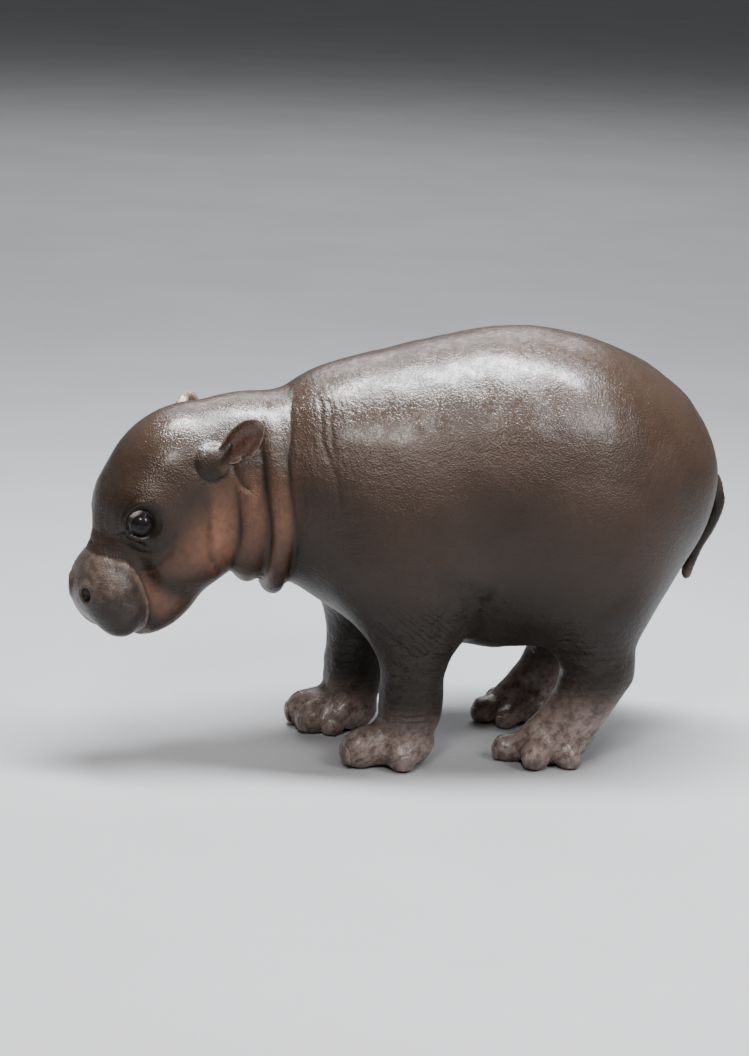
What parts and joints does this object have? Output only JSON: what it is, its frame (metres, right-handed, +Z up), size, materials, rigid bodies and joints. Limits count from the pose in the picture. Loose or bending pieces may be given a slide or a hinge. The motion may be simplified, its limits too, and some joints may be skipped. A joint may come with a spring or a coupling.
{
  "type": "pygmy hippopotamus calf",
  "caption": "Life-size still model of a standing pygmy hippopotamus calf with a barrel body, lowered head, folded neck and short splayed feet.",
  "frame": {"origin": "centre of the model's box in plan, on the floor under the soles", "axes": "-Y is the way the animal faces, +X is its left side, +Z is up"},
  "size_m": [0.1849, 0.4469, 0.2861],
  "materials": {
    "skin_head": "dark brown moist skin, paler on the muzzle",
    "skin_throat": "pinkish-brown moist skin",
    "skin_neck": "pinkish-brown folded skin",
    "skin_trunk": "dark brown moist skin, fine grain",
    "skin_leg": "dark brown wrinkled skin",
    "skin_foot": "pinkish-grey wrinkled wet skin",
    "skin_ear": "dark skin with a pale thin rim",
    "skin_tail": "near-black skin with bristles",
    "eye": "dark glossy eye",
    "nail": "pale horn"
  },
  "bodies": {
    "root": {"ear_left": "skin_ear", "ear_right": "skin_ear", "eye_left": "eye", "eye_right": "eye", "foot_front_left": "skin_foot", "foot_front_right": "skin_foot", "foot_rear_left": "skin_foot", "foot_rear_right": "skin_foot", "head": "skin_head", "jaw": "skin_throat", "leg_front_left": "skin_leg", "leg_front_right": "skin_leg", "leg_rear_left": "skin_leg", "leg_rear_right": "skin_leg", "nail_front_left_front_inner": "nail", "nail_front_left_front_outer": "nail", "nail_front_left_inner": "nail", "nail_front_left_outer": "nail", "nail_front_right_front_inner": "nail", "nail_front_right_front_outer": "nail", "nail_front_right_inner": "nail", "nail_front_right_outer": "nail", "nail_rear_left_front_inner": "nail", "nail_rear_left_front_outer": "nail", "nail_rear_left_inner": "nail", "nail_rear_left_outer": "nail", "nail_rear_right_front_inner": "nail", "nail_rear_right_front_outer": "nail", "nail_rear_right_inner": "nail", "nail_rear_right_outer": "nail", "neck": "skin_neck", "tail": "skin_tail", "trunk": "skin_trunk"}
  },
  "joints": []
}
